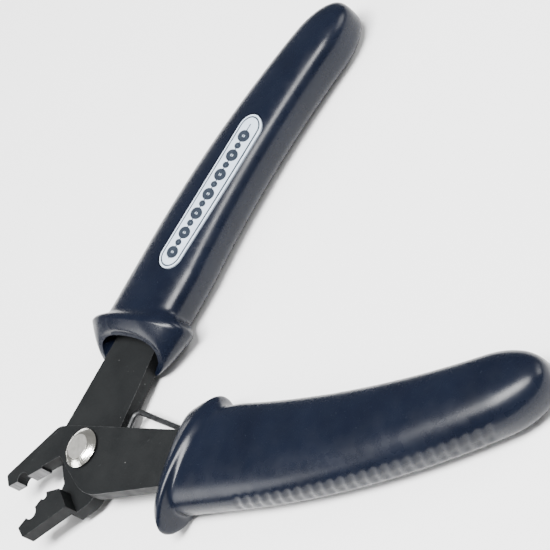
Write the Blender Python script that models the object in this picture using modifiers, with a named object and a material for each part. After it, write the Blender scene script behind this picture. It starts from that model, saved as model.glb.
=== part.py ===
"""Crimping pliers for jewellery work, spring open, lying on the backs of their grips.

Metres, +Z up. The hinge axis is the line x = 0, y = 0 and runs along +Z. The jaws point
along -X, the handles along +X, and the table they lie on is z = 0.

Each half hangs from an empty on the hinge axis, which turns it to its resting angle. It is
drawn in its jaw frame: the closing line runs along -X and passes CLOSING_Y from the hinge
axis, the jaw body is on the +Y side of it and the handle leaves on the -Y side; the back
half is the mirror image about that line. The handle and its grip are drawn in a handle
frame that starts at "start", x along the chord to the grip tip and y outward, away from
the other handle.
"""

import math

import bmesh
import bpy
from mathutils import Matrix, Vector

MM = 0.001

# ---------------------------------------------------------------- clearances
FIT = 0.3 * MM                     # gap kept between pieces that touch in the real tool
LAND_GAP = 0.15 * MM               # each land stands this far off the closing line
WELD = 0.005 * MM                  # points closer than this after the cuts become one

# ---------------------------------------------------------------- overall sizes
HANDLE_LEN = 107.2 * MM            # handle frame origin to grip tip
JAW_LEN = 21.1 * MM                # hinge axis to jaw tip
PLATE_T = 3.0 * MM                 # sheet steel of each half
GRIP_HALF_T = 5.2 * MM             # half thickness of a grip
RING_T = 0.6 * MM                  # washer behind the back half
TAIL_T = 0.65 * MM                 # spread end of the rivet, its face at z = 0
BACK_Z = TAIL_T + RING_T + 2 * FIT  # back face of the back half
Z_JOINT = BACK_Z + PLATE_T + FIT / 2  # plane between the two halves

# ---------------------------------------------------------------- angles
# "start" is the origin of the handle frame in the jaw frame; the guard runs from its nose
# round the mouth to its rim, each given at the inner and the outer end, in the handle
# frame; "boss" is the outer corner of the plate round the hinge and its radius
FRONT = {"side": -1, "open": 12.0, "bend": 18.8, "start": (-1.17 * MM, 0.67 * MM),
         "inner": 4.9 * MM, "outer": 10.6 * MM, "boss": (4.2 * MM, 9.0 * MM),
         "nose_in": (26.0 * MM, -4.6 * MM), "nose_out": (21.5 * MM, 13.6 * MM),
         "rim_in": (34.6 * MM, -7.7 * MM), "rim_out": (25.0 * MM, 19.0 * MM)}
BACK = {"side": 1, "open": 18.0, "bend": 13.4, "start": (-0.67 * MM, -1.17 * MM),
        "inner": 5.4 * MM, "outer": 11.4 * MM, "boss": (-0.6 * MM, 5.0 * MM),
        "nose_in": (23.6 * MM, -5.4 * MM), "nose_out": (19.6 * MM, 14.2 * MM),
        "rim_in": (30.6 * MM, -8.2 * MM), "rim_out": (23.8 * MM, 19.0 * MM)}
INNER_SLOPE = 8.8                  # inner handle edge against the handle chord, degrees

# ---------------------------------------------------------------- jaws
CLOSING_Y = 0.67 * MM              # the closing line passes this far from the hinge axis
TIP_DEPTH = 2.9 * MM               # land to outer edge at the tip
TIP_LEAN = 0.3 * MM                # how far the outer corner of the tip runs ahead
ROOT_X = 6.0 * MM                  # hinge to the shoulder, along the jaw
ROOT_Y = 8.5 * MM                  # hinge to the shoulder, across the jaw
ROOT_R = 3.4 * MM
THROAT_X = 6.3 * MM                # hinge to the throat of the front jaw
LAND_X = 11.5 * MM                 # where the land begins
THROAT_RELIEF = 0.45 * MM          # throat edge below the land of the front jaw
NOTCH_X = 17.0 * MM                # centre of the round crimping notch
NOTCH_R = 1.45 * MM
CUP_X = 12.6 * MM                  # centre of the small inner notch of the back jaw
CUP_R = 0.8 * MM
BACK_THROAT = (8.8 * MM, 1.7 * MM)  # throat corner of the back half, ahead of the hinge
BACK_CHEEK = (6.4 * MM, 6.6 * MM)   # and where its edge meets the handle
RELIEF_X = 8.3 * MM                # the back land slopes away up to here
RELIEF_Y = 2.5 * MM
RISER_IN = 8.6 * MM                # inner wall of the back jaw's raised step
RISER_LEN = 2.6 * MM               # length of the step along the jaw
RISER_LEAN = 12.0                  # lean of the step walls, degrees
EDGE = 0.22 * MM                   # broken edge of the plates

# ---------------------------------------------------------------- hinge
SHANK_R = 2.1 * MM
HEAD_R = 4.2 * MM
HEAD_FLAT_R = 2.6 * MM
HEAD_H = 1.3 * MM
HEAD_RIM = 0.35 * MM
HEAD_CROWN = 0.12 * MM
RING_R = 3.9 * MM
TAIL_R = 3.2 * MM

# ---------------------------------------------------------------- grips
BODY_X = 42.0 * MM                 # the guard ends and the plain grip begins
BOW_X = 52.0 * MM                  # the centre line stands furthest out here
BOW = 5.45 * MM                    # centre line outside the chord at that point
TIP_OUT = -2.0 * MM                # and at the grip tip
WIDTH_START = 10.1 * MM            # half widths of the grip
WIDTH_MID = 8.7 * MM
WIDTH_END = 7.0 * MM
DOME = 10.2 * MM                   # length of the rounded end
CROWN = 2.9                        # exponent of the cross-section
CROWN_OUTER = 2.3                  # and of its softer front outer quarter
GUARD_CROWN = 2.15
GRIP_SEGS = 32
RIM_RISE = 1.0 * MM                # rim of the guard over the front of the grip
NOSE_SINK = 1.0 * MM               # nose of the guard below the front of the grip
MOUTH_LEAN = 0.85                  # the mouth leans back towards the front of the grip
LIP = 1.2 * MM                     # wall left around the mouth
POCKET = 4.0 * MM                  # depth of the mouth
POCKET_TAPER = 0.9 * MM            # it narrows by this much towards its floor
GUARD_STEP = 3.6 * MM              # rim to the body, along the handle
TANG_START = 26.5 * MM             # the handle plate runs straight from here
TANG_END = 72.0 * MM               # the handle plate ends here, inside the grip
TANG_TIP_HALF = 3.6 * MM

RIBS = 24
RIB_FIRST = 42.5 * MM
RIB_LAST = 96.0 * MM
RIB_DEPTH = 0.55 * MM
RIB_FULL = 1.6 * MM                # ribs are full up to this height over mid thickness
RIB_GONE = 2.8 * MM                # and gone from here
RIB_SHARE = 0.5                    # part of the pitch taken by a rib

LABEL_FROM = (40.5 * MM, 3.0 * MM)
LABEL_TO = (77.5 * MM, 1.4 * MM)
LABEL_HALF_W = 3.1 * MM
LABEL_T = 0.45 * MM

# ---------------------------------------------------------------- spring
WIRE_R = 0.6 * MM
WIRE_Z = Z_JOINT - FIT / 2 - PLATE_T / 2
WIRE_ANCHOR = (32.2 * MM, 0.5 * MM)   # inside the front grip, handle frame
WIRE_MOUTH = (27.0 * MM, -1.7 * MM)
WIRE_TURN_X = 12.4 * MM           # bend, along the back half's handle
WIRE_END_X = 8.6 * MM
WIRE_BEND_R = 1.6 * MM
FLEX_AT = (44.6 * MM, -33.5 * MM)  # the wire swings about this point as it is pressed in
SOCKET_DEEPER = 6.2 * MM           # room for the wire to slide into the grip
SOCKET_SLACK = 1.1 * MM            # and for it to swing sideways

# ---------------------------------------------------------------- colours
NAVY = (0.012, 0.019, 0.045, 1.0)
OXIDE = (0.030, 0.031, 0.032, 1.0)
NICKEL = (0.62, 0.60, 0.56, 1.0)
SPRING_STEEL = (0.020, 0.020, 0.021, 1.0)
ZINC = (0.42, 0.42, 0.41, 1.0)
PAPER = (0.74, 0.79, 0.84, 1.0)


# ================================================================ scene helpers
def clear_scene():
    for obj in list(bpy.data.objects):
        bpy.data.objects.remove(obj, do_unlink=True)


def new_collection(name):
    coll = bpy.data.collections.new(name)
    bpy.context.scene.collection.children.link(coll)
    return coll


def principled(name, colour, metallic, roughness):
    mat = bpy.data.materials.new(name)
    mat.use_nodes = True
    shader = mat.node_tree.nodes["Principled BSDF"]
    shader.inputs["Base Color"].default_value = colour
    shader.inputs["Metallic"].default_value = metallic
    shader.inputs["Roughness"].default_value = roughness
    mat.diffuse_color = colour
    return mat


def hinge_empty(name, degrees, coll):
    """An empty on the hinge axis that turns one half to its resting angle."""
    empty = bpy.data.objects.new(name, None)
    empty.rotation_euler.z = math.radians(degrees)
    coll.objects.link(empty)
    return empty


def add_object(name, mesh, coll, parent=None, mat=None):
    obj = bpy.data.objects.new(name, mesh)
    obj.parent = parent
    coll.objects.link(obj)
    if mat is not None:
        mesh.materials.append(mat)
    return obj


def outward(mesh):
    """Turns every face outward and joins coplanar neighbours into single faces."""
    bm = bmesh.new()
    bm.from_mesh(mesh)
    bmesh.ops.remove_doubles(bm, verts=bm.verts, dist=1e-7)
    bmesh.ops.dissolve_limit(bm, angle_limit=math.radians(0.05), verts=bm.verts, edges=bm.edges)
    bmesh.ops.recalc_face_normals(bm, faces=bm.faces)
    bm.to_mesh(mesh)
    bm.free()


def curve_to_mesh(name, curve):
    """The evaluated mesh of a curve, with its loose caps welded."""
    scratch = bpy.data.objects.new(name + "_curve", curve)
    bpy.context.scene.collection.objects.link(scratch)
    depsgraph = bpy.context.evaluated_depsgraph_get()
    mesh = bpy.data.meshes.new_from_object(scratch.evaluated_get(depsgraph))
    mesh.name = name
    bpy.data.objects.remove(scratch, do_unlink=True)
    bpy.data.curves.remove(curve)
    mesh.materials.clear()
    return mesh


def smooth_shading(obj, degrees):
    obj.data.shade_smooth()
    obj.data.set_sharp_from_angle(angle=math.radians(degrees))


def cut(obj, cutter):
    mod = obj.modifiers.new(cutter.name, "BOOLEAN")
    mod.operation = "DIFFERENCE"
    mod.solver = "EXACT"
    mod.object = cutter


def break_edges(obj, width):
    mod = obj.modifiers.new("broken_edges", "BEVEL")
    mod.width = width
    mod.segments = 2
    mod.limit_method = "ANGLE"
    mod.angle_limit = math.radians(40.0)


def mended(obj):
    """Welds the near-coincident points that crossing cuts leave, then settles the faces."""
    weld = obj.modifiers.new("weld", "WELD")
    weld.merge_threshold = WELD
    obj.modifiers.new("faces", "TRIANGULATE").ngon_method = "BEAUTY"


# ================================================================ flat geometry
def rotated(point, degrees):
    a = math.radians(degrees)
    x, y = point
    return (x * math.cos(a) - y * math.sin(a), x * math.sin(a) + y * math.cos(a))


def handle_to_jaw(half, point):
    """Handle frame (along the chord, outward) to the half's jaw frame."""
    x, y = rotated((point[0], -point[1]), -half["bend"])
    return (x + half["start"][0], y + half["start"][1])


def jaw_to_half(half, point):
    """Jaw frame to the half's own axes; the back half is the front one mirrored."""
    x, y = point
    return (x, -half["side"] * y)


def handle_to_half(half, point):
    return jaw_to_half(half, handle_to_jaw(half, point))


def between_halves(source, target, point):
    """A point on one resting half, given in the other half's axes."""
    turn = source["side"] * source["open"] - target["side"] * target["open"]
    return rotated(jaw_to_half(source, handle_to_jaw(source, point)), turn)


def filleted(points, steps=6):
    """Closed outline of (x, y, radius) corners, each rounded with its own radius."""
    out = []
    count = len(points)
    for i, (x, y, radius) in enumerate(points):
        here = Vector((x, y))
        before = Vector(points[i - 1][:2])
        after = Vector(points[(i + 1) % count][:2])
        if radius <= 0.0:
            out.append((x, y))
            continue
        u = (before - here).normalized()
        v = (after - here).normalized()
        half_angle = u.angle(v) / 2.0
        reach = radius / math.tan(half_angle)
        centre = here + (u + v).normalized() * (radius / math.sin(half_angle))
        start = here + u * reach - centre
        end = here + v * reach - centre
        sweep = math.atan2(start.x * end.y - start.y * end.x, start.dot(end))
        for k in range(steps + 1):
            a = sweep * k / steps
            out.append((centre.x + start.x * math.cos(a) - start.y * math.sin(a),
                        centre.y + start.x * math.sin(a) + start.y * math.cos(a)))
    return out


def arc(cx, cy, radius, start, end, steps):
    pts = []
    for k in range(steps + 1):
        a = math.radians(start + (end - start) * k / steps)
        pts.append((cx + radius * math.cos(a), cy + radius * math.sin(a)))
    return pts


def flat_piece(name, outline, z0, z1, coll, parent=None, mat=None):
    """A flat outline extruded between two heights."""
    curve = bpy.data.curves.new(name, "CURVE")
    curve.dimensions = "2D"
    curve.fill_mode = "BOTH"
    curve.extrude = (z1 - z0) / 2.0
    spline = curve.splines.new("POLY")
    spline.points.add(len(outline) - 1)
    for point, (x, y) in zip(spline.points, outline):
        point.co = (x, y, 0.0, 1.0)
    spline.use_cyclic_u = True
    mesh = curve_to_mesh(name, curve)
    mesh.transform(Matrix.Translation((0.0, 0.0, (z0 + z1) / 2.0)))
    outward(mesh)
    return add_object(name, mesh, coll, parent, mat)


def cylinder(name, radius, z0, z1, coll, segs=48):
    bm = bmesh.new()
    bmesh.ops.create_cone(bm, cap_ends=True, segments=segs, radius1=radius, radius2=radius,
                          depth=z1 - z0, matrix=Matrix.Translation((0.0, 0.0, (z0 + z1) / 2)))
    mesh = bpy.data.meshes.new(name)
    bm.to_mesh(mesh)
    bm.free()
    return add_object(name, mesh, coll)


def turned(name, profile, coll, parent, mat, closed=False, segs=48):
    """A profile of (radius, z), outer side top to bottom, turned about the hinge axis."""
    mesh = bpy.data.meshes.new(name)
    edges = [(i, i + 1) for i in range(len(profile) - 1)]
    if closed:
        edges.append((len(profile) - 1, 0))
    mesh.from_pydata([(radius, 0.0, z) for radius, z in profile], edges, [])
    obj = add_object(name, mesh, coll, parent, mat)
    screw = obj.modifiers.new("turn", "SCREW")
    screw.axis = "Z"
    screw.steps = segs
    screw.render_steps = segs
    screw.use_merge_vertices = True
    screw.merge_threshold = 1e-6
    screw.use_smooth_shade = True
    return obj


def loft(name, rings, coll, parent=None, mat=None):
    """Closed body through unlike sections of equal length, with flat ends."""
    bm = bmesh.new()
    loops = [[bm.verts.new(p) for p in ring] for ring in rings]
    for low, high in zip(loops, loops[1:]):
        for k, vert in enumerate(low):
            bm.faces.new((low[k - 1], vert, high[k], high[k - 1]))
    bm.faces.new(loops[0])
    bm.faces.new(loops[-1])
    bmesh.ops.recalc_face_normals(bm, faces=bm.faces)
    mesh = bpy.data.meshes.new(name)
    bm.to_mesh(mesh)
    bm.free()
    return add_object(name, mesh, coll, parent, mat)


def wire(name, path, radius, origin, coll, parent=None, mat=None):
    """Round wire along a level path, its caps filled; origin becomes the object's origin."""
    curve = bpy.data.curves.new(name, "CURVE")
    curve.dimensions = "3D"
    curve.bevel_depth = radius
    curve.bevel_resolution = 2
    curve.use_fill_caps = True
    spline = curve.splines.new("POLY")
    spline.points.add(len(path) - 1)
    for point, (x, y) in zip(spline.points, path):
        point.co = (x - origin[0], y - origin[1], 0.0, 1.0)
    mesh = curve_to_mesh(name, curve)
    outward(mesh)
    obj = add_object(name, mesh, coll, parent, mat)
    obj.location = origin
    return obj


# ================================================================ steel halves
def tang_edges(half, grow=0.0):
    """Inner and outer handle edges in the handle frame, from the boss to the tang end."""
    slope = math.tan(math.radians(INNER_SLOPE))
    start = TANG_START
    inner = (start, -half["inner"] / math.cos(math.radians(INNER_SLOPE)) + slope * start - grow)
    outer_y = half["outer"] + grow
    end_y = BOW * 0.85
    end_half = TANG_TIP_HALF + grow
    return [inner, (TANG_END + grow, end_y - end_half), (TANG_END + grow, end_y + end_half),
            (start + 4.0 * MM, outer_y)]


def notch(centre, radius, base):
    """Round notch of a land whose working edge lies at y = base, from throat to tip."""
    return [(x, y, 0.0) for x, y in arc(-centre, base, radius, 0.0, 180.0, 10)]


def land_front():
    """Working edge of the front jaw, from the throat out to the tip."""
    base = CLOSING_Y + LAND_GAP
    pts = [(-THROAT_X, base + THROAT_RELIEF, 0.3 * MM),
           (-LAND_X + 0.2 * MM, base + THROAT_RELIEF, 0.0), (-LAND_X, base, 0.0)]
    return pts + notch(NOTCH_X, NOTCH_R, base)


def land_back():
    """Working edge of the back jaw, which carries the small inner notch as well."""
    base = LAND_GAP - CLOSING_Y
    pts = [(-BACK_CHEEK[0], -BACK_CHEEK[1], 1.5 * MM), (-BACK_THROAT[0], -BACK_THROAT[1], 0.5 * MM),
           (-LAND_X, base, 0.0)]
    return pts + notch(CUP_X, CUP_R, base) + notch(NOTCH_X, NOTCH_R, base)


def half_outline(half, land):
    """Whole outline of one steel half in its jaw frame."""
    pts = list(land)
    base = -half["side"] * CLOSING_Y + LAND_GAP
    pts += [(-JAW_LEN, base, 0.3 * MM), (-JAW_LEN - TIP_LEAN, base + TIP_DEPTH, 0.6 * MM)]
    pts.append((-ROOT_X, ROOT_Y, ROOT_R))
    slope = math.radians(INNER_SLOPE)
    near_x = -1.0 * MM
    near = (near_x, near_x * math.tan(slope) - half["inner"] / math.cos(slope))
    pts.append((*handle_to_jaw(half, near), 0.0))
    edges = tang_edges(half)
    pts.append((*handle_to_jaw(half, edges[0]), 0.0))
    pts.append((*handle_to_jaw(half, edges[1]), 1.0 * MM))
    pts.append((*handle_to_jaw(half, edges[2]), 1.0 * MM))
    pts.append((*handle_to_jaw(half, edges[3]), 0.0))
    boss_x, boss_r = half["boss"]
    pts.append((*handle_to_jaw(half, (boss_x, half["outer"])), boss_r))
    return filleted(pts)


def steel_halves(coll, cutters, empties, mat):
    z0 = BACK_Z
    z1 = Z_JOINT + FIT / 2 + PLATE_T
    bore = cylinder("cut_bore", SHANK_R + FIT, z0 - PLATE_T, z1 + PLATE_T, cutters)

    outline = [jaw_to_half(FRONT, p) for p in half_outline(FRONT, land_front())]
    front = flat_piece("front_plate", outline, Z_JOINT + FIT / 2, z1, coll, empties[0], mat)
    cut(front, bore)
    break_edges(front, EDGE)

    outline = [jaw_to_half(BACK, p) for p in half_outline(BACK, land_back())]
    back = flat_piece("back_plate", outline, z0, z1, coll, empties[1], mat)
    lean = math.tan(math.radians(RISER_LEAN)) * JAW_LEN
    beyond = 2.0 * HANDLE_LEN
    front_level = [(-RISER_IN + lean, -JAW_LEN), (-RISER_IN - lean, JAW_LEN),
                   (beyond, beyond), (beyond, -beyond), (0.0, -beyond)]
    outer_x = -RISER_IN - RISER_LEN
    back_level = [(outer_x, -JAW_LEN), (outer_x, JAW_LEN), (-2 * JAW_LEN, JAW_LEN),
                  (-2 * JAW_LEN, -JAW_LEN)]
    relief = [(-LAND_X, LAND_GAP - CLOSING_Y), (-RELIEF_X, RELIEF_Y), (0.0, RELIEF_Y),
              (0.0, -JAW_LEN), (-LAND_X, -JAW_LEN)]
    for name, shape, low, high in (
            ("cut_front_level", front_level, Z_JOINT - FIT / 2, z1 + PLATE_T),
            ("cut_relief", relief, Z_JOINT - FIT / 2, z1 + PLATE_T),
            ("cut_back_level", back_level, z0 - PLATE_T, Z_JOINT + FIT / 2)):
        shape = [jaw_to_half(BACK, p) for p in shape]
        cut(back, flat_piece(name, shape, low, high, cutters, empties[1]))
    cut(back, bore)
    break_edges(back, EDGE)


# ================================================================ hinge
def hinge(coll, parent, nickel, zinc):
    top = Z_JOINT + FIT / 2 + PLATE_T + FIT
    bottom = BACK_Z - FIT
    ring_z = bottom - RING_T
    tail_z = TAIL_T
    profile = [(0.0, top + HEAD_H), (HEAD_FLAT_R, top + HEAD_H)]
    for k in range(1, 5):
        t = k / 4
        drop = (HEAD_H - HEAD_RIM) * t - HEAD_CROWN * math.sin(math.pi * t)
        profile.append((HEAD_FLAT_R + (HEAD_R - HEAD_FLAT_R) * t, top + HEAD_H - drop))
    profile += [(HEAD_R, top + HEAD_CROWN), (HEAD_R - HEAD_CROWN, top), (SHANK_R, top)]
    profile += [(SHANK_R, tail_z), (TAIL_R - HEAD_CROWN, tail_z), (TAIL_R, tail_z - HEAD_CROWN)]
    profile += [(TAIL_R - HEAD_CROWN, 0.0), (0.0, 0.0)]
    turned("pivot_rivet", profile, coll, parent, nickel)
    inner = SHANK_R + FIT
    profile = [(RING_R, bottom), (RING_R, ring_z), (inner, ring_z), (inner, bottom)]
    turned("rivet_ring", profile, coll, parent, zinc, closed=True)


# ================================================================ grips
def centre_line(x):
    """Centre line of the grip outside the chord at distance x along it."""
    t = (x - BOW_X) / (HANDLE_LEN - BOW_X)
    return BOW - (BOW - TIP_OUT) * t * t


def half_width(x):
    start, end = BODY_X, HANDLE_LEN - DOME
    t = (x - start) / (end - start)
    bulge = 4.0 * (WIDTH_MID - (WIDTH_START + WIDTH_END) / 2) * t * (1.0 - t)
    return WIDTH_START + (WIDTH_END - WIDTH_START) * t + bulge


def rib_depth(x):
    """How far the outer side is cut back at x: nothing on a rib, full depth between ribs."""
    if x < RIB_FIRST or x > RIB_LAST:
        return 0.0
    pitch = (RIB_LAST - RIB_FIRST) / RIBS
    phase = ((x - RIB_FIRST) / pitch) % 1.0
    if phase < RIB_SHARE / 2 or phase > 1.0 - RIB_SHARE / 2:
        return 0.0
    return RIB_DEPTH


def smooth(value, low, high):
    t = min(1.0, max(0.0, (value - low) / (high - low)))
    return t * t * (3.0 - 2.0 * t)


def section(inner, outer, half_t, power, power_outer, notch_depth=0.0):
    """Cross-section standing on the line from inner to outer, as (x, out, z) points. Its
    front outer quarter has an exponent of its own, and its back is flat where it rests."""
    ring = []
    centre = ((inner[0] + outer[0]) / 2, (inner[1] + outer[1]) / 2)
    arm = ((outer[0] - inner[0]) / 2, (outer[1] - inner[1]) / 2)
    length = math.hypot(*arm)
    for k in range(GRIP_SEGS):
        a = 2.0 * math.pi * (k + 0.5) / GRIP_SEGS
        c, s = math.cos(a), math.sin(a)
        p = power_outer if c > 0.0 and s > 0.0 else power
        across = math.copysign(abs(c) ** (2.0 / p), c)
        z = half_t * math.copysign(abs(s) ** (2.0 / p), s)
        if c > 0.0:
            across -= notch_depth / length * (1.0 - smooth(abs(z), RIB_FULL, RIB_GONE))
        z = max(z, -Z_JOINT)
        ring.append((centre[0] + arm[0] * across, centre[1] + arm[1] * across, z))
    return ring


def body_section(x, shrink=1.0, half_t=GRIP_HALF_T):
    step = 0.5 * MM
    slope = (centre_line(x + step) - centre_line(x - step)) / (2.0 * step)
    length = math.hypot(1.0, slope)
    nx, ny = -slope / length, 1.0 / length
    cy = centre_line(x)
    w = half_width(x) * shrink
    inner = (x - nx * w, cy - ny * w)
    outer = (x + nx * w, cy + ny * w)
    return section(inner, outer, half_t, CROWN, CROWN_OUTER, rib_depth(x))


def mix(a, b, t):
    return tuple(p + (q - p) * t for p, q in zip(a, b))


def leaned(ring, share=1.0):
    """A ring of the mouth, leaned back so that its front stands further up the handle."""
    return [(x + z * MOUTH_LEAN * share, y, z) for x, y, z in ring]


def guard_rings(half):
    """Finger guard: a rounded nose round the mouth, swelling to the rim, then a step down
    to the body of the grip."""
    rings = []
    nose_t = GRIP_HALF_T - NOSE_SINK
    rim_t = GRIP_HALF_T + RIM_RISE
    for t in (0.0, 0.08, 0.25, 0.5, 0.75, 0.93, 1.0):
        along, swell = t ** 1.2, t ** 0.75
        ends = []
        for side in ("in", "out"):
            nose, rim = half["nose_" + side], half["rim_" + side]
            ends.append((nose[0] + (rim[0] - nose[0]) * along,
                         nose[1] + (rim[1] - nose[1]) * swell))
        ring = section(ends[0], ends[1], nose_t + (rim_t - nose_t) * swell, GUARD_CROWN,
                       GUARD_CROWN)
        rings.append(leaned(ring, 1.0 - swell))
    rim_in, rim_out = half["rim_in"], half["rim_out"]
    foot_in = (rim_in[0] + GUARD_STEP, centre_line(BODY_X) - WIDTH_START)
    foot_out = (rim_out[0] + GUARD_STEP, centre_line(BODY_X) + WIDTH_START)
    for along, drop in ((0.14, 0.06), (0.30, 0.30), (0.50, 0.66), (0.75, 0.92), (1.1, 1.0)):
        ends = []
        for rim, foot in ((rim_in, foot_in), (rim_out, foot_out)):
            ends.append((rim[0] + (foot[0] - rim[0]) * along,
                         rim[1] + (foot[1] - rim[1]) * drop))
        power = GUARD_CROWN + (CROWN - GUARD_CROWN) * drop
        rings.append(section(ends[0], ends[1], rim_t - RIM_RISE * drop, power, GUARD_CROWN))
    body_in = (BODY_X, centre_line(BODY_X) - WIDTH_START)
    body_out = (BODY_X, centre_line(BODY_X) + WIDTH_START)
    for t in (0.45, 0.75):
        rings.append(section(mix(foot_in, body_in, t), mix(foot_out, body_out, t),
                             GRIP_HALF_T, CROWN, CROWN_OUTER))
    return rings


def grip_rings(half):
    """Rings of the solid grip: finger guard, body with ribs, rounded end."""
    rings = guard_rings(half)
    rings.append(body_section(BODY_X))
    pitch = (RIB_LAST - RIB_FIRST) / RIBS
    marks = (RIB_SHARE / 2 - 0.06, RIB_SHARE / 2 + 0.06, 1 - RIB_SHARE / 2 - 0.06,
             1 - RIB_SHARE / 2 + 0.06)
    for i in range(RIBS):
        for mark in marks:
            rings.append(body_section(RIB_FIRST + pitch * (i + mark)))
    start = HANDLE_LEN - DOME
    for k in range(9):
        a = math.pi / 2 * k / 9
        rings.append(body_section(start + DOME * math.sin(a), math.cos(a) ** 0.85,
                                  GRIP_HALF_T * math.cos(a) ** 0.5))
    return rings


def to_half(half, rings):
    """Rings of (x, out, z about the joint plane) in the handle frame, on the half's axes."""
    return [[(*handle_to_half(half, (x, y)), Z_JOINT + z) for x, y, z in ring]
            for ring in rings]


def pocket_rings(half):
    """Mouth of the guard, hollowed to leave a lip and narrowing towards its floor."""
    rings = []
    for shift, inset in ((-POCKET, 0.0), (0.0, 0.0), (POCKET, POCKET_TAPER)):
        inner = (half["nose_in"][0] + shift, half["nose_in"][1])
        outer = (half["nose_out"][0] + shift, half["nose_out"][1])
        t = (LIP + inset) / math.dist(inner, outer)
        ring = section(mix(inner, outer, t), mix(outer, inner, t),
                       GRIP_HALF_T - NOSE_SINK - LIP * 0.6 - inset, 2.5, 2.5)
        rings.append(leaned(ring))
    return rings


def grip(name, half, coll, cutters, parent, mat):
    obj = loft(name, to_half(half, grip_rings(half)), coll, parent, mat)
    plate_low = Z_JOINT + FIT / 2 if half is FRONT else BACK_Z
    edges = tang_edges(half, FIT)
    slope = math.tan(math.radians(INNER_SLOPE))
    ahead = 14.0 * MM
    slot = [(edges[0][0] - ahead, edges[0][1] - slope * ahead)] + edges
    slot.append((edges[3][0] - ahead, edges[3][1]))
    slot = [handle_to_half(half, p) for p in slot]
    cut(obj, flat_piece("cut_slot_" + name, slot, plate_low - FIT, plate_low + PLATE_T + FIT,
                        cutters, parent))
    cut(obj, loft("cut_mouth_" + name, to_half(half, pocket_rings(half)), cutters, parent))
    smooth_shading(obj, 40.0)
    return obj


# ================================================================ label
def front_height(x, out):
    """Height of the grip's crowned front above the joint plane."""
    across = (out - centre_line(x)) / half_width(x)
    power = CROWN_OUTER if across > 0.0 else CROWN
    return GRIP_HALF_T * (1.0 - abs(across) ** power) ** (1.0 / power)


def label_rings(grow, low, high):
    """Pill that follows the crown of the grip, between two heights over its surface."""
    start, end = Vector(LABEL_FROM), Vector(LABEL_TO)
    along = (end - start).normalized()
    side = Vector((-along.y, along.x))
    length = (end - start).length
    radius = LABEL_HALF_W + grow
    cap = [LABEL_HALF_W - math.cos(math.pi / 2 * k / 6) * radius for k in range(6)]
    straight = length - 2 * LABEL_HALF_W
    stations = cap + [LABEL_HALF_W + straight * k / 10 for k in range(11)]
    stations += [length - s for s in reversed(cap)]
    rings = []
    for s in stations:
        past = max(LABEL_HALF_W - s, s - (length - LABEL_HALF_W), 0.0)
        reach = math.sqrt(max(radius ** 2 - past ** 2, (0.12 * radius) ** 2))
        top, bottom = [], []
        for k in range(7):
            p = start + along * s + side * (reach * (k / 3 - 1.0))
            z = front_height(p.x, p.y)
            top.append((p.x, p.y, z + high))
            bottom.append((p.x, p.y, z + low))
        rings.append(top + bottom[::-1])
    return rings


def label(grip_obj, coll, cutters, parent, mat):
    recess = label_rings(FIT, -LABEL_T - FIT, 2.0 * LABEL_T)
    cut(grip_obj, loft("cut_label", to_half(BACK, recess), cutters, parent))
    loft("label", to_half(BACK, label_rings(0.0, -LABEL_T, 0.0)), coll, parent, mat)


# ================================================================ spring
def wire_path():
    """Return spring in the front half's axes: from inside the grip, round one bend, to
    the inner edge of the back half's handle, which it bears on."""
    slope = math.radians(INNER_SLOPE)
    offset = (WIRE_R + FIT) / math.cos(slope)
    bearing = []
    for x in (WIRE_TURN_X, WIRE_END_X):
        edge_y = -BACK["inner"] / math.cos(slope) + x * math.tan(slope)
        bearing.append(between_halves(BACK, FRONT, (x, edge_y - offset)))
    corners = [(*handle_to_half(FRONT, WIRE_ANCHOR), 0.0),
               (*handle_to_half(FRONT, WIRE_MOUTH), 0.0),
               (*bearing[0], WIRE_BEND_R), (*bearing[1], 0.0)]
    return filleted(corners)


def spring(grip_obj, coll, cutters, parent, mat):
    """The wire, its origin on the axis it swings about, and the slot it slides in."""
    path = wire_path()
    step = (Vector(path[1]) - Vector(path[0])).normalized()
    side = Vector((-step.y, step.x)) * (WIRE_R + FIT + SOCKET_SLACK)
    inner = Vector(path[0]) - step * (FIT + SOCKET_DEEPER)
    outer = Vector(path[1]) + step * POCKET
    slot = [tuple(inner - side), tuple(outer - side), tuple(outer + side), tuple(inner + side)]
    cut(grip_obj, flat_piece("cut_wire_slot", slot, WIRE_Z - WIRE_R - FIT,
                             WIRE_Z + WIRE_R + FIT, cutters, parent))
    flex = (*handle_to_half(FRONT, FLEX_AT), WIRE_Z)
    obj = wire("return_spring", path, WIRE_R, flex, coll, parent, mat)
    smooth_shading(obj, 60.0)


# ================================================================ build
def build():
    clear_scene()
    coll = new_collection("crimping_pliers")
    cutters = new_collection("cutters")
    navy = principled("grip_navy", NAVY, 0.0, 0.32)
    oxide = principled("black_oxide_steel", OXIDE, 0.7, 0.42)
    nickel = principled("nickel", NICKEL, 1.0, 0.22)
    zinc = principled("zinc", ZINC, 1.0, 0.35)
    dark = principled("spring_wire", SPRING_STEEL, 0.8, 0.35)
    paper = principled("label_white", PAPER, 0.0, 0.45)

    front = hinge_empty("front_half", FRONT["side"] * FRONT["open"], coll)
    back = hinge_empty("back_half", BACK["side"] * BACK["open"], coll)
    steel_halves(coll, cutters, (front, back), oxide)
    hinge(coll, front, nickel, zinc)
    lower = grip("lower_grip", FRONT, coll, cutters, front, navy)
    upper = grip("upper_grip", BACK, coll, cutters, back, navy)
    label(upper, coll, cutters, back, paper)
    spring(lower, coll, cutters, front, dark)
    mended(lower)
    mended(upper)
    for obj in cutters.objects:
        obj.hide_render = True
        obj.display_type = "WIRE"


build()
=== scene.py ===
"""Looks of the crimping pliers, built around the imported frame. Metres, +Z up, as the frame."""

import math

import bmesh
import bpy
from mathutils import Matrix, Vector


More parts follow.
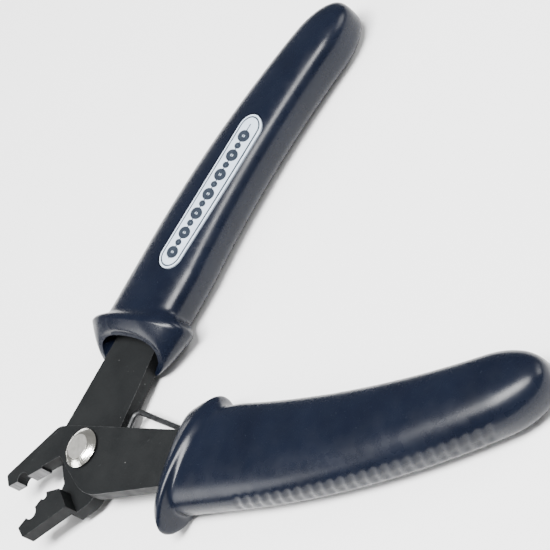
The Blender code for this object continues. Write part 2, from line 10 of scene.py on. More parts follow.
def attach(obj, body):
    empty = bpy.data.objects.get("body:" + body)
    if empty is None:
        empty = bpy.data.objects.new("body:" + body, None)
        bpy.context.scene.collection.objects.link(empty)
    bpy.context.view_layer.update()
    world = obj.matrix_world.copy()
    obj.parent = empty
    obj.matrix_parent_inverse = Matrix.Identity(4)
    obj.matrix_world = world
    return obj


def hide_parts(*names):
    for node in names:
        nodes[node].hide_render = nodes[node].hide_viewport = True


MM = 0.001
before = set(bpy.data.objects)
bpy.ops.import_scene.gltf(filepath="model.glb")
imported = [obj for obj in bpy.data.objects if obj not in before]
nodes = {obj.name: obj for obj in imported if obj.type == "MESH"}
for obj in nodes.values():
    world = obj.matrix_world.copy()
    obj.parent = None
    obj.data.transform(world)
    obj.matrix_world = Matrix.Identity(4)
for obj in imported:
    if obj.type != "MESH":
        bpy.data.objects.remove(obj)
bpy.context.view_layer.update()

# ---------------------------------------------------------------- sizes, as in the CAD
FIT = 0.3 * MM
WELD = 0.005 * MM
PLATE_T = 3.0 * MM
Z_JOINT = 5.0 * MM
BACK_Z = 1.85 * MM
HANDLE_LEN = 107.2 * MM
GRIP_HALF_T = 5.2 * MM
FRONT = {"side": -1, "open": 12.0, "bend": 18.8, "start": (-1.17 * MM, 0.67 * MM),
         "inner": 4.9 * MM, "outer": 10.6 * MM,
         "nose_in": (26.0 * MM, -4.6 * MM), "nose_out": (21.5 * MM, 13.6 * MM),
         "rim_in": (34.6 * MM, -7.7 * MM), "rim_out": (25.0 * MM, 19.0 * MM)}
BACK = {"side": 1, "open": 18.0, "bend": 13.4, "start": (-0.67 * MM, -1.17 * MM),
        "inner": 5.4 * MM, "outer": 11.4 * MM,
        "nose_in": (23.6 * MM, -5.4 * MM), "nose_out": (19.6 * MM, 14.2 * MM),
        "rim_in": (30.6 * MM, -8.2 * MM), "rim_out": (23.8 * MM, 19.0 * MM)}
INNER_SLOPE = 8.8
HEAD_FLAT_R = 2.6 * MM
BODY_X = 42.0 * MM
BOW_X = 52.0 * MM
BOW = 5.45 * MM
TIP_OUT = -2.0 * MM
WIDTH_START, WIDTH_MID, WIDTH_END = 10.1 * MM, 8.7 * MM, 7.0 * MM
DOME = 10.2 * MM
CROWN, CROWN_OUTER, GUARD_CROWN = 2.9, 2.3, 2.15
RIM_RISE = 1.0 * MM
NOSE_SINK = 1.0 * MM
MOUTH_LEAN = 0.85
LIP = 1.2 * MM
POCKET = 4.0 * MM
POCKET_TAPER = 0.9 * MM
GUARD_STEP = 3.6 * MM
TANG_START = 26.5 * MM
TANG_END = 72.0 * MM
TANG_TIP_HALF = 3.6 * MM
RIBS, RIB_FIRST, RIB_LAST = 24, 42.5 * MM, 96.0 * MM
RIB_DEPTH, RIB_MID, RIB_FULL, RIB_GONE = 0.26 * MM, 0.5 * MM, 0.9 * MM, 2.6 * MM
LABEL_FROM, LABEL_TO = (40.5 * MM, 3.0 * MM), (77.5 * MM, 1.4 * MM)
LABEL_HALF_W, LABEL_T = 3.1 * MM, 0.45 * MM
WIRE_R = 0.6 * MM
WIRE_Z = 3.35 * MM
WIRE_ANCHOR = (32.2 * MM, 0.5 * MM)
WIRE_MOUTH = (27.0 * MM, -1.7 * MM)
SOCKET_DEEPER, SOCKET_SLACK = 6.2 * MM, 1.1 * MM

LAND_X = 11.3 * MM             # ground faces begin this far from the hinge
TIP_X = 19.6 * MM              # and the tip's own face from here
NOTCH_X, NOTCH_REACH = 17.0 * MM, 1.50 * MM
CUP_X, CUP_REACH = 12.6 * MM, 0.85 * MM

SEGS = 96                      # points round a grip section
STEP = 0.37 * MM               # spacing of the sections along the ribs
NOSE_RINGS, STEP_RINGS, NECK_RINGS, DOME_RINGS = 24, 16, 8, 26
RIB_SLANT = -0.45              # ribs lean back towards the front of the grip
SHARP = 40.0                   # faces meeting at more degrees than this stay sharp
LABEL_STEPS = 80               # stations along the label's straight part
CAP_RINGS, ACROSS_STEPS = 14, 24   # on each rounded end, and across the label
BEAD_FROM, BEAD_STOP, BEAD_PITCH = 3.7 * MM, 3.6 * MM, 2.35 * MM
STRING_END = 2.2 * MM          # the string stops this far inside the label's ends


# ---------------------------------------------------------------- camera
FRAME_PX = 550                 # side of the photo
HINGE_PX = (89, 454)           # where the hinge lies in it, from the top left
SENSOR = 36.0


def camera():
    """Camera fitted to the photo, worked out in millimetres round the hinge."""
    px_per_mm, distance = 4.912281382, 330.0586777
    tilt, roll, turn = math.radians(48.48), math.radians(35.0), math.radians(31.78)
    x0 = (HINGE_PX[0] - FRAME_PX / 2) / px_per_mm
    y0 = -(HINGE_PX[1] - FRAME_PX / 2) / px_per_mm
    axis = Vector((-math.sin(roll), -math.cos(roll), 0.0))
    view = (Matrix.Translation((x0, y0, -distance)) @ Matrix.Rotation(tilt, 4, axis)
            @ Matrix.Rotation(turn, 4, "Z") @ Matrix.Translation((1.0, -0.9, -5.0)))
    world = view.inverted()
    world.translation = world.translation * MM
    data = bpy.data.cameras.new("camera")
    obj = bpy.data.objects.new("camera", data)
    bpy.context.scene.collection.objects.link(obj)
    obj.matrix_world = world
    data.lens = SENSOR * px_per_mm * distance / FRAME_PX
    data.sensor_width = SENSOR
    data.clip_start = 0.01
    bpy.context.scene.camera = obj


# ---------------------------------------------------------------- materials
class Nodes:
    """Shorthand for one material's node tree."""

    def __init__(self, name, metallic=0.0, specular=0.5):
        self.mat = bpy.data.materials.new(name)
        self.mat.use_nodes = True
        self.tree = self.mat.node_tree
        self.shader = self.tree.nodes["Principled BSDF"]
        self.shader.inputs["Metallic"].default_value = metallic
        self.shader.inputs["Specular IOR Level"].default_value = specular
        self.coords = self.tree.nodes.new("ShaderNodeTexCoord").outputs["Object"]
        self.last_bump = None

    def link(self, a, b):
        self.tree.links.new(a, b)

    def noise(self, scale, detail=3.0, stretch=None, rough=0.5):
        """Noise in object space, scale in cells per metre, stretched per axis."""
        tex = self.tree.nodes.new("ShaderNodeTexNoise")
        tex.inputs["Scale"].default_value = scale
        tex.inputs["Detail"].default_value = detail
        tex.inputs["Roughness"].default_value = rough
        place = self.coords
        if stretch:
            mapping = self.tree.nodes.new("ShaderNodeMapping")
            mapping.inputs["Scale"].default_value = stretch[:3]
            if len(stretch) > 3:
                mapping.inputs["Rotation"].default_value = (0.0, 0.0, stretch[3])
            self.link(self.coords, mapping.inputs["Vector"])
            place = mapping.outputs["Vector"]
        self.link(place, tex.inputs["Vector"])
        return tex.outputs["Fac"]

    def ramp(self, fac, stops):
        """Colour ramp through (position, colour or grey) stops."""
        node = self.tree.nodes.new("ShaderNodeValToRGB")
        ramp = node.color_ramp
        while len(ramp.elements) < len(stops):
            ramp.elements.new(0.5)
        for element, (place, value) in zip(ramp.elements, stops):
            element.position = place
            element.color = value if isinstance(value, tuple) else (value,) * 3 + (1.0,)
        self.link(fac, node.inputs["Fac"])
        return node.outputs["Color"]

    def mix(self, fac, a, b):
        node = self.tree.nodes.new("ShaderNodeMix")
        node.data_type = "RGBA"
        for value, socket in ((fac, node.inputs[0]), (a, node.inputs[6]), (b, node.inputs[7])):
            if isinstance(value, (float, tuple)):
                socket.default_value = value
            else:
                self.link(value, socket)
        return node.outputs[2]

    def bump(self, height, strength, distance):
        node = self.tree.nodes.new("ShaderNodeBump")
        node.inputs["Strength"].default_value = strength
        node.inputs["Distance"].default_value = distance
        self.link(height, node.inputs["Height"])
        if self.last_bump is not None:
            self.link(self.last_bump, node.inputs["Normal"])
        self.last_bump = node.outputs["Normal"]
        self.link(self.last_bump, self.shader.inputs["Normal"])

    def finish(self, colour, rough):
        self.link(colour, self.shader.inputs["Base Color"])
        self.link(rough, self.shader.inputs["Roughness"])
        return self.mat


def rgb(r, g, b):
    return (r, g, b, 1.0)


def navy_material():
    n = Nodes("grip_navy_look", specular=0.22)
    cloud = n.ramp(n.noise(90.0, 4.0), [(0.3, rgb(0.0022, 0.0036, 0.0088)),
                                        (0.7, rgb(0.0040, 0.0060, 0.0130))])
    specks = n.ramp(n.noise(2600.0, 2.0), [(0.70, 0.0), (0.76, 1.0)])
    dusty = n.mix(specks, cloud, rgb(0.010, 0.013, 0.020))
    scuff = n.ramp(n.noise(240.0, 5.0, (1.0, 5.0, 1.0, 0.5)), [(0.68, 0.0), (0.78, 0.25)])
    colour = n.mix(scuff, dusty, rgb(0.008, 0.011, 0.018))
    rough = n.ramp(n.noise(320.0, 4.0), [(0.30, 0.22), (0.70, 0.33)])
    n.bump(n.noise(3800.0, 2.0), 0.10, 0.00002)
    n.bump(n.noise(180.0, 1.0), 0.05, 0.00010)
    return n.finish(colour, rough)


def oxide_material():
    n = Nodes("black_oxide_look", specular=0.08)
    cloud = n.ramp(n.noise(140.0, 5.0), [(0.28, rgb(0.0050, 0.0055, 0.0058)),
                                         (0.72, rgb(0.0090, 0.0097, 0.0100))])
    grain = n.mix(n.ramp(n.noise(5200.0, 2.0), [(0.35, 0.0), (0.65, 0.35)]), cloud,
                  rgb(0.014, 0.015, 0.016))
    scratch = n.ramp(n.noise(420.0, 3.0, (1.0, 7.0, 1.0, 0.6)), [(0.70, 0.0), (0.76, 0.6)])
    marks = n.mix(scratch, grain, rgb(0.038, 0.040, 0.041))
    spots = n.ramp(n.noise(1500.0, 3.0), [(0.745, 0.0), (0.785, 0.8)])
    colour = n.mix(spots, marks, rgb(0.20, 0.20, 0.20))
    rough = n.ramp(n.noise(500.0, 4.0), [(0.30, 0.40), (0.70, 0.56)])
    n.bump(n.noise(4200.0, 3.0), 0.22, 0.00003)
    return n.finish(colour, rough)


def worn_edge_material():
    n = Nodes("oxide_worn_edge", metallic=0.2, specular=0.3)
    worn = n.ramp(n.noise(700.0, 4.0), [(0.42, rgb(0.020, 0.021, 0.022)),
                                        (0.72, rgb(0.110, 0.112, 0.114))])
    rough = n.ramp(n.noise(900.0, 3.0), [(0.3, 0.30), (0.7, 0.46)])
    n.bump(n.noise(5000.0, 2.0), 0.15, 0.00002)
    return n.finish(worn, rough)


def ground_material():
    """Freshly ground steel, its fine lines running across the sheet."""
    n = Nodes("ground_steel", metallic=0.55)
    lines = n.noise(2600.0, 4.0, (1.0, 1.0, 0.045), 0.7)
    stain = n.noise(420.0, 3.0)
    metal = n.ramp(lines, [(0.30, rgb(0.060, 0.060, 0.062)), (0.55, rgb(0.125, 0.125, 0.128)),
                           (0.72, rgb(0.20, 0.20, 0.205))])
    colour = n.mix(n.ramp(stain, [(0.45, 0.0), (0.75, 0.5)]), metal, rgb(0.06, 0.06, 0.062))
    rough = n.ramp(lines, [(0.3, 0.50), (0.7, 0.34)])
    n.bump(lines, 0.35, 0.00006)
    return n.finish(colour, rough)


def rivet_material():
    """Satin flat in the middle, a brighter turned bevel round it."""
    n = Nodes("nickel_look", metallic=1.0)
    split = n.tree.nodes.new("ShaderNodeSeparateXYZ")
    n.link(n.coords, split.inputs["Vector"])
    flat = n.tree.nodes.new("ShaderNodeVectorMath")
    flat.operation = "MULTIPLY"
    flat.inputs[1].default_value = (1.0, 1.0, 0.0)
    n.link(n.coords, flat.inputs[0])
    radius = n.tree.nodes.new("ShaderNodeVectorMath")
    radius.operation = "LENGTH"
    n.link(flat.outputs["Vector"], radius.inputs[0])
    ranged = n.tree.nodes.new("ShaderNodeMapRange")
    ranged.inputs["From Min"].default_value = HEAD_FLAT_R - 0.06 * MM
    ranged.inputs["From Max"].default_value = HEAD_FLAT_R + 0.06 * MM
    n.link(radius.outputs["Value"], ranged.inputs["Value"])
    mask = ranged.outputs["Result"]
    cloud = n.noise(700.0, 4.0)
    satin = n.ramp(cloud, [(0.3, rgb(0.38, 0.375, 0.35)), (0.7, rgb(0.47, 0.465, 0.44))])
    bright = n.ramp(cloud, [(0.3, rgb(0.66, 0.65, 0.59)), (0.7, rgb(0.80, 0.79, 0.73))])
    rough_flat = n.ramp(n.noise(2400.0, 3.0), [(0.3, 0.46), (0.7, 0.58)])
    rough_bevel = n.ramp(n.noise(2400.0, 3.0), [(0.3, 0.13), (0.7, 0.22)])
    n.bump(n.noise(5000.0, 2.0), 0.12, 0.00002)
    return n.finish(n.mix(mask, satin, bright), n.mix(mask, rough_flat, rough_bevel))


def zinc_material():
    n = Nodes("zinc_look", metallic=1.0)
    colour = n.ramp(n.noise(900.0, 4.0), [(0.3, rgb(0.33, 0.33, 0.33)),
                                          (0.7, rgb(0.47, 0.47, 0.46))])
    rough = n.ramp(n.noise(2200.0, 3.0), [(0.3, 0.30), (0.7, 0.46)])
    n.bump(n.noise(4200.0, 2.0), 0.15, 0.00002)
    return n.finish(colour, rough)


def wire_material():
    n = Nodes("spring_wire_look", metallic=0.4)
    drawn = n.noise(1600.0, 3.0, (0.15, 1.0, 1.0, 0.3))
    colour = n.ramp(drawn, [(0.35, rgb(0.010, 0.011, 0.012)), (0.72, rgb(0.034, 0.035, 0.037))])
    rough = n.ramp(n.noise(1800.0, 3.0), [(0.3, 0.26), (0.7, 0.42)])
    n.bump(drawn, 0.15, 0.00003)
    return n.finish(colour, rough)


def paper_material():
    n = Nodes("label_white_look", specular=0.45)
    cloud = n.ramp(n.noise(260.0, 4.0), [(0.3, rgb(0.43, 0.50, 0.60)),
                                         (0.7, rgb(0.50, 0.57, 0.67))])
    colour = n.mix(n.ramp(n.noise(3200.0, 2.0), [(0.68, 0.0), (0.78, 0.3)]), cloud,
                   rgb(0.45, 0.50, 0.56))
    rough = n.ramp(n.noise(900.0, 3.0), [(0.3, 0.30), (0.7, 0.44)])
    n.bump(n.noise(2600.0, 2.0), 0.08, 0.00002)
    return n.finish(colour, rough)


def print_material():
    n = Nodes("label_print", specular=0.15)
    colour = n.ramp(n.noise(1800.0, 4.0), [(0.3, rgb(0.012, 0.016, 0.024)),
                                           (0.7, rgb(0.022, 0.028, 0.038))])
    rough = n.ramp(n.noise(2200.0, 2.0), [(0.3, 0.34), (0.7, 0.50)])
    n.bump(n.noise(4800.0, 2.0), 0.08, 0.00001)
    return n.finish(colour, rough)


# ---------------------------------------------------------------- meshes
def add_mesh(name, bm, *mats):
    mesh = bpy.data.meshes.new(name)
    bm.to_mesh(mesh)
    bm.free()
    for mat in mats:
        mesh.materials.append(mat)
    obj = bpy.data.objects.new(name, mesh)
    bpy.context.scene.collection.objects.link(obj)
    return obj


def loft(name, rings, *mats):
    bm = bmesh.new()
    loops = [[bm.verts.new(p) for p in ring] for ring in rings]
    for low, high in zip(loops, loops[1:]):
        for k, vert in enumerate(low):
            bm.faces.new((low[k - 1], vert, high[k], high[k - 1]))
    bm.faces.new(loops[0])
    bm.faces.new(loops[-1])
    bmesh.ops.recalc_face_normals(bm, faces=bm.faces)
    return add_mesh(name, bm, *mats)


def prism(name, outline, z0, z1):
    return loft(name, [[(x, y, z0) for x, y in outline], [(x, y, z1) for x, y in outline]])


def mend(obj):
    """Welds the near-coincident points that crossing cuts leave, then settles the faces."""
    bm = bmesh.new()
    bm.from_mesh(obj.data)
    bmesh.ops.remove_doubles(bm, verts=bm.verts, dist=WELD)
    bmesh.ops.triangulate(bm, faces=[f for f in bm.faces if len(f.verts) > 4])
    bmesh.ops.dissolve_degenerate(bm, dist=WELD, edges=bm.edges)
    bm.to_mesh(obj.data)
    bm.free()


def cut(obj, cutter):
    """Takes cutter out of obj. Each cut is mended at once, or the next one can fail."""
    mod = obj.modifiers.new("cut", "BOOLEAN")
    mod.operation = "DIFFERENCE"
    mod.solver = "EXACT"
    mod.object = cutter
    graph = bpy.context.evaluated_depsgraph_get()
    graph.update()
    mesh = bpy.data.meshes.new_from_object(obj.evaluated_get(graph))
    obj.modifiers.clear()
    obj.data = mesh
    bpy.data.objects.remove(cutter, do_unlink=True)
    mend(obj)


def shade(obj, degrees):
    """Smooth shading, sharp where faces meet at more than that angle."""
    bm = bmesh.new()
    bm.from_mesh(obj.data)
    limit = math.radians(degrees)
    for face in bm.faces:
        face.smooth = True
    for edge in bm.edges:
        edge.smooth = len(edge.link_faces) == 2 and edge.calc_face_angle(0.0) < limit
    bm.to_mesh(obj.data)
    bm.free()


# ---------------------------------------------------------------- frames, as in the CAD
def rotated(point, degrees):
    a = math.radians(degrees)
    x, y = point
    return (x * math.cos(a) - y * math.sin(a), x * math.sin(a) + y * math.cos(a))


def to_world(half, point):
    """Handle frame to the row frame, at rest."""
    x, y = rotated((point[0], -point[1]), -half["bend"])
    x, y = x + half["start"][0], y + half["start"][1]
    return rotated((x, -half["side"] * y), half["side"] * half["open"])


def placed(half, rings):
    return [[(*to_world(half, (x, y)), Z_JOINT + z) for x, y, z in ring] for ring in rings]


# ---------------------------------------------------------------- grips
def centre_line(x):
    t = (x - BOW_X) / (HANDLE_LEN - BOW_X)
    return BOW - (BOW - TIP_OUT) * t * t


def half_width(x):
    start, end = BODY_X, HANDLE_LEN - DOME
    t = (x - start) / (end - start)
    bulge = 4.0 * (WIDTH_MID - (WIDTH_START + WIDTH_END) / 2) * t * (1.0 - t)
    return WIDTH_START + (WIDTH_END - WIDTH_START) * t + bulge


def smooth(value, low, high):
    t = min(1.0, max(0.0, (value - low) / (high - low)))
    return t * t * (3.0 - 2.0 * t)


def rib_depth(x, z):
    """Depth of the groove at x, height z: soft ribs that lean across the grip's side."""
    x += RIB_SLANT * z
    if x < RIB_FIRST or x > RIB_LAST:
        return 0.0
    pitch = (RIB_LAST - RIB_FIRST) / RIBS
    wave = 0.5 - 0.5 * math.cos(2.0 * math.pi * (x - RIB_FIRST) / pitch)
    fade = 1.0 - smooth(abs(z - RIB_MID), RIB_FULL, RIB_GONE)
    return RIB_DEPTH * smooth(wave, 0.12, 0.88) * fade


def section(inner, outer, half_t, power, power_outer, ribs_at=None):
    ring = []
    centre = ((inner[0] + outer[0]) / 2, (inner[1] + outer[1]) / 2)
    arm = ((outer[0] - inner[0]) / 2, (outer[1] - inner[1]) / 2)
    length = math.hypot(*arm)
    for k in range(SEGS):
        a = 2.0 * math.pi * (k + 0.5) / SEGS
        c, s = math.cos(a), math.sin(a)
        p = power_outer if c > 0.0 and s > 0.0 else power
        across = math.copysign(abs(c) ** (2.0 / p), c)
        z = half_t * math.copysign(abs(s) ** (2.0 / p), s)
        if c > 0.0 and ribs_at is not None:
            across -= rib_depth(ribs_at, z) / length
        z = max(z, -Z_JOINT)
        ring.append((centre[0] + arm[0] * across, centre[1] + arm[1] * across, z))
    return ring


def body_section(x, shrink=1.0, half_t=GRIP_HALF_T):
    """Grip section square to the centre line at x."""
    step = 0.5 * MM
    slope = (centre_line(x + step) - centre_line(x - step)) / (2.0 * step)
    length = math.hypot(1.0, slope)
    nx, ny = -slope / length, 1.0 / length
    cy = centre_line(x)
    w = half_width(x) * shrink
    return section((x - nx * w, cy - ny * w), (x + nx * w, cy + ny * w), half_t, CROWN,
                   CROWN_OUTER, x)


def mix_points(a, b, t):
    return tuple(p + (q - p) * t for p, q in zip(a, b))


def leaned(ring, share=1.0):
    """Tips a section forward with height, as the guard's mouth leans."""
    return [(x + z * MOUTH_LEAN * share, y, z) for x, y, z in ring]


def between(stations, t):
    """Value at t on straight lines through (position, value) stations."""
    for (x0, v0), (x1, v1) in zip(stations, stations[1:]):
        if t <= x1:
            return v0 + (v1 - v0) * (t - x0) / (x1 - x0)
    return stations[-1][1]


def grip_rings(half):
    """Sections from the nose over the guard's rim, down its step and along the body."""
    rings = []
    nose_t, rim_t = GRIP_HALF_T - NOSE_SINK, GRIP_HALF_T + RIM_RISE
    for k in range(NOSE_RINGS + 1):
        t = (k / NOSE_RINGS) ** 1.4
        along, swell = t ** 1.2, t ** 0.75
        ends = []
        for side in ("in", "out"):
            nose, rim = half["nose_" + side], half["rim_" + side]
            ends.append((nose[0] + (rim[0] - nose[0]) * along,
                         nose[1] + (rim[1] - nose[1]) * swell))
        ring = section(ends[0], ends[1], nose_t + (rim_t - nose_t) * swell, GUARD_CROWN,
                       GUARD_CROWN)
        rings.append(leaned(ring, 1.0 - swell))
    rim_in, rim_out = half["rim_in"], half["rim_out"]
    foot_in = (rim_in[0] + GUARD_STEP, centre_line(BODY_X) - WIDTH_START)
    foot_out = (rim_out[0] + GUARD_STEP, centre_line(BODY_X) + WIDTH_START)
    reach = 1.1
    step_down = [(0.0, 0.0), (0.14, 0.06), (0.30, 0.30), (0.50, 0.66), (0.75, 0.92), (reach, 1.0)]
    for k in range(1, STEP_RINGS + 1):
        along = reach * k / STEP_RINGS
        drop = smooth(between(step_down, along) * 0.5 + smooth(along, 0.0, reach) * 0.5, 0.0, 1.0)
        ends = []
        for rim, foot in ((rim_in, foot_in), (rim_out, foot_out)):
            ends.append((rim[0] + (foot[0] - rim[0]) * along,
                         rim[1] + (foot[1] - rim[1]) * drop))
        power = GUARD_CROWN + (CROWN - GUARD_CROWN) * drop
        outer_power = GUARD_CROWN + (CROWN_OUTER - GUARD_CROWN) * drop
        rings.append(section(ends[0], ends[1], rim_t - RIM_RISE * drop, power, outer_power))
    body_in = (BODY_X, centre_line(BODY_X) - WIDTH_START)
    body_out = (BODY_X, centre_line(BODY_X) + WIDTH_START)
    for k in range(1, NECK_RINGS):
        t = 0.1 + 0.9 * k / NECK_RINGS
        rings.append(section(mix_points(foot_in, body_in, t), mix_points(foot_out, body_out, t),
                             GRIP_HALF_T, CROWN, CROWN_OUTER))
    start = HANDLE_LEN - DOME
    count = round((start - BODY_X) / STEP)
    rings += [body_section(BODY_X + (start - BODY_X) * k / count) for k in range(count)]
    for k in range(DOME_RINGS):
        a = math.pi / 2 * k / DOME_RINGS
        rings.append(body_section(start + DOME * math.sin(a), math.cos(a) ** 0.85,
                                  GRIP_HALF_T * math.cos(a) ** 0.5))
    return rings


def pocket_rings(half):
    rings = []
    for shift, inset in ((-POCKET, 0.0), (0.0, 0.0), (POCKET, POCKET_TAPER)):
        inner = (half["nose_in"][0] + shift, half["nose_in"][1])
        outer = (half["nose_out"][0] + shift, half["nose_out"][1])
        t = (LIP + inset) / math.dist(inner, outer)
        ring = section(mix_points(inner, outer, t), mix_points(outer, inner, t),
                       GRIP_HALF_T - NOSE_SINK - LIP * 0.6 - inset, 2.5, 2.5)
        rings.append(leaned(ring))
    return rings


def tang_slot(half):
    slope = math.tan(math.radians(INNER_SLOPE))
    inner = (TANG_START,
             -half["inner"] / math.cos(math.radians(INNER_SLOPE)) + slope * TANG_START - FIT)
    end_y, end_half = BOW * 0.85, TANG_TIP_HALF + FIT
    outer_y = half["outer"] + FIT
    ahead, set_back = 14.0 * MM, 4.0 * MM
    return [(inner[0] - ahead, inner[1] - slope * ahead), inner,
            (TANG_END + FIT, end_y - end_half), (TANG_END + FIT, end_y + end_half),
            (TANG_START + set_back, outer_y), (TANG_START + set_back - ahead, outer_y)]


def make_grip(name, half, body, mat):
    obj = loft(name + "_moulded", placed(half, grip_rings(half)), mat)
    low = (Z_JOINT + FIT / 2 if half is FRONT else BACK_Z) - FIT
    outline = [to_world(half, p) for p in tang_slot(half)]
    cut(obj, prism("slot_" + name, outline, low, low + PLATE_T + 2 * FIT))
    cut(obj, loft("mouth_" + name, placed(half, pocket_rings(half))))
    if half is FRONT:
        inner, outer = (Vector(to_world(half, p)) for p in (WIRE_ANCHOR, WIRE_MOUTH))
        step = (outer - inner).normalized()
        side = Vector((-step.y, step.x)) * (WIRE_R + FIT + SOCKET_SLACK)
        inner, outer = inner - step * (FIT + SOCKET_DEEPER), outer + step * POCKET
        outline = [tuple(p) for p in (inner - side, outer - side, outer + side, inner + side)]
        cut(obj, prism("wire_slot", outline, WIRE_Z - WIRE_R - FIT, WIRE_Z + WIRE_R + FIT))
    else:
        cut(obj, loft("label_recess",
                      placed(BACK, label_rings(FIT, -LABEL_T - FIT, 2.0 * LABEL_T))))
    shade(obj, SHARP)
    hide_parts(name)
    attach(obj, body)


# ---------------------------------------------------------------- label
def front_height(x, out):
    across = (out - centre_line(x)) / half_width(x)
    power = CROWN_OUTER if across > 0.0 else CROWN
    return GRIP_HALF_T * (1.0 - abs(across) ** power) ** (1.0 / power)


LABEL_START, LABEL_END = Vector(LABEL_FROM), Vector(LABEL_TO)
ALONG = (LABEL_END - LABEL_START).normalized()
ACROSS = Vector((-ALONG.y, ALONG.x))
LABEL_LEN = (LABEL_END - LABEL_START).length


def label_rings(grow, low, high):
    radius = LABEL_HALF_W + grow
    cap = [LABEL_HALF_W - math.cos(math.pi / 2 * k / CAP_RINGS) * radius
           for k in range(CAP_RINGS)]
    straight = LABEL_LEN - 2 * LABEL_HALF_W
    stations = cap + [LABEL_HALF_W + straight * k / LABEL_STEPS for k in range(LABEL_STEPS + 1)]
    stations += [LABEL_LEN - s for s in reversed(cap)]
    rings = []
    for s in stations:
        past = max(LABEL_HALF_W - s, s - (LABEL_LEN - LABEL_HALF_W), 0.0)
        reach = math.sqrt(max(radius ** 2 - past ** 2, (0.12 * radius) ** 2))
        top, bottom = [], []
        for k in range(ACROSS_STEPS + 1):
            p = LABEL_START + ALONG * s + ACROSS * (reach * (k / (ACROSS_STEPS / 2) - 1.0))
            z = front_height(p.x, p.y)
            top.append((p.x, p.y, z + high))
            bottom.append((p.x, p.y, z + low))
        rings.append(top + bottom[::-1])
    return rings


def on_label(s, v, lift):
    """A point s along the label and v across it, lifted off its surface."""
    p = LABEL_START + ALONG * s + ACROSS * v
    return (*to_world(BACK, (p.x, p.y)), Z_JOINT + front_height(p.x, p.y) + lift)


def pill_points(inset, count=24):
    """Points (s, v) round a pill drawn that far inside the label's edge."""
    r = LABEL_HALF_W - inset
    pts = []
    for centre, start in ((LABEL_HALF_W, math.pi / 2), (LABEL_LEN - LABEL_HALF_W, -math.pi / 2)):
        for k in range(count + 1):
            a = start + math.pi * k / count
            pts.append((centre + r * math.cos(a), r * math.sin(a)))
        last = pts[-1]
        other = LABEL_LEN - LABEL_HALF_W if centre == LABEL_HALF_W else LABEL_HALF_W
        pts += [(last[0] + (other - last[0]) * k / LABEL_STEPS, last[1])
                for k in range(1, LABEL_STEPS)]
    return pts


def ink(name, loops, mat, lift=0.035 * MM):
    """A thin printed film between two (s, v) outlines, its inner and its outer edge."""
    bm = bmesh.new()
    low = -0.01 * MM
    verts = [[[bm.verts.new(on_label(s, v, h)) for s, v in loop] for h in (low, lift)]
             for loop in loops]
    (inner_low, inner_top), (outer_low, outer_top) = verts
    count = len(outer_top)
    for k in range(count):
        j = k - 1
        bm.faces.new((inner_top[j], inner_top[k], outer_top[k], outer_top[j]))
        bm.faces.new((outer_top[j], outer_top[k], outer_low[k], outer_low[j]))
        bm.faces.new((outer_low[j], outer_low[k], inner_low[k], inner_low[j]))
        bm.faces.new((inner_low[j], inner_low[k], inner_top[k], inner_top[j]))
    bmesh.ops.recalc_face_normals(bm, faces=bm.faces)
    obj = add_mesh(name, bm, mat)
    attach(obj, "back_half")


def oval(s, radius_s, radius_v, count=28):
    return [(s + radius_s * math.cos(2 * math.pi * k / count),
             radius_v * math.sin(2 * math.pi * k / count)) for k in range(count)]


def make_label(paper, dark):
    obj = loft("label_pill", placed(BACK, label_rings(0.0, -LABEL_T, 0.0)), paper)
    shade(obj, SHARP)
    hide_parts("label")
    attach(obj, "back_half")
    ink("label_border", (pill_points(0.74 * MM), pill_points(0.42 * MM)), dark)
    # a string of plain beads, large and small by turns
    place, number = BEAD_FROM, 0
    while place < LABEL_LEN - BEAD_STOP:
        large = number % 2 == 0
        rs, rv = (1.35 * MM, 1.65 * MM) if large else (0.72 * MM, 0.92 * MM)
        hole = 0.24 if large else 0.16
        ink("label_bead_%02d" % number,
            (oval(place, rs * hole, rv * hole), oval(place, rs, rv)), dark)
        place += BEAD_PITCH
        number += 1
    count = 60
    first, last = STRING_END, LABEL_LEN - STRING_END
    half_line = 0.14 * MM
    line = [(first + (last - first) * k / count, half_line) for k in range(count + 1)]
    line += [(s, -v) for s, v in reversed(line)]
    inner = [(s, v * 0.2) for s, v in line]
    ink("label_string", (inner, line), dark, 0.030 * MM)


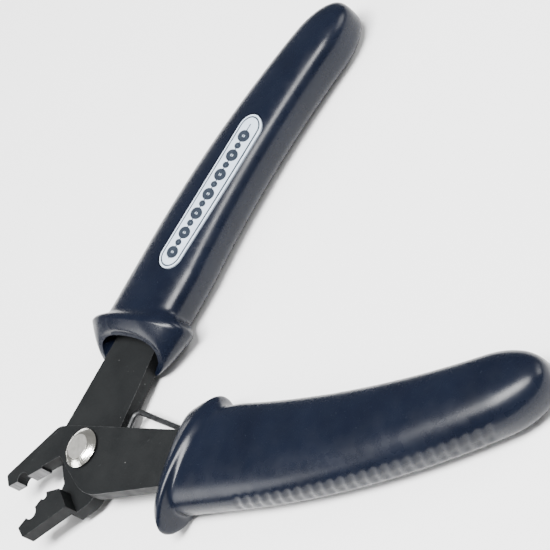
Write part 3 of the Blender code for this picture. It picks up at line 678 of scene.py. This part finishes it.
# ---------------------------------------------------------------- steel halves
def make_plate(name, body, oxide, ground, worn):
    """The CAD plate's own shape, its faces given the finish each has: ground lands and tip,
    worn broken edges, black oxide elsewhere."""
    source = nodes[name]
    obj = bpy.data.objects.new(name + "_finished", source.data.copy())
    bpy.context.scene.collection.objects.link(obj)
    obj.data.materials.clear()
    for mat in (oxide, ground, worn):
        obj.data.materials.append(mat)
    half = FRONT if name == "front_plate" else BACK
    for face in obj.data.polygons:
        centre, normal = face.center, face.normal
        level = abs(normal.z)
        face.material_index = 0
        if 0.2 < level < 0.97:
            face.material_index = 2
        elif level < 0.2:
            turn = -half["side"] * half["open"]
            px = rotated((centre.x, centre.y), turn)[0]
            nx, ny = rotated((normal.x, normal.y), turn)
            inward = ny * (-1.0 if half is FRONT else 1.0)
            notch = abs(px + NOTCH_X) < NOTCH_REACH
            cup = half is BACK and abs(px + CUP_X) < CUP_REACH
            if px < -TIP_X and nx < -0.8:
                face.material_index = 1
            elif px < -LAND_X and inward > 0.9 and not notch and not cup:
                face.material_index = 1
    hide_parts(name)
    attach(obj, body)


# ---------------------------------------------------------------- floor and lights
def area_light(name, place, target, size, energy, size_y=None):
    data = bpy.data.lights.new(name, "AREA")
    data.energy = energy
    data.size = size
    if size_y:
        data.shape = "RECTANGLE"
        data.size_y = size_y
    obj = bpy.data.objects.new(name, data)
    bpy.context.scene.collection.objects.link(obj)
    obj.location = place
    obj.rotation_euler = (Vector(target) - Vector(place)).to_track_quat("-Z", "Y").to_euler()


def surroundings():
    bm = bmesh.new()
    bmesh.ops.create_grid(bm, x_segments=8, y_segments=8, size=2.5)
    floor_look = Nodes("floor_look", specular=0.2)
    shade_ramp = floor_look.ramp(floor_look.noise(3.0, 2.0), [(0.3, 0.86), (0.7, 0.88)])
    rough = floor_look.ramp(floor_look.noise(40.0, 2.0), [(0.3, 0.75), (0.7, 0.85)])
    floor = add_mesh("floor", bm, floor_look.finish(shade_ramp, rough))
    floor.location.z = -0.0002
    world = bpy.data.worlds.new("studio")
    bpy.context.scene.world = world
    world.use_nodes = True
    back = world.node_tree.nodes["Background"]
    back.inputs["Color"].default_value = (1.0, 1.0, 1.0, 1.0)
    back.inputs["Strength"].default_value = 0.30
    target = (0.04, 0.0, 0.0)
    area_light("overhead", (0.02, -0.16, 0.80), target, 0.60, 28.0, 0.28)
    area_light("left", (-0.70, -0.05, 0.42), target, 0.40, 5.0)
    area_light("right", (0.80, 0.00, 0.42), target, 0.40, 5.0)


# ---------------------------------------------------------------- build
camera()
surroundings()
navy, oxide, ground, worn = (navy_material(), oxide_material(), ground_material(),
                             worn_edge_material())
make_plate("front_plate", "front_half", oxide, ground, worn)
make_plate("back_plate", "back_half", oxide, ground, worn)
make_grip("lower_grip", FRONT, "front_half", navy)
make_grip("upper_grip", BACK, "back_half", navy)
make_label(paper_material(), print_material())
for node, look in (("pivot_rivet", rivet_material()), ("rivet_ring", zinc_material()),
                   ("return_spring", wire_material())):
    for place in nodes[node].material_slots:
        place.material = look
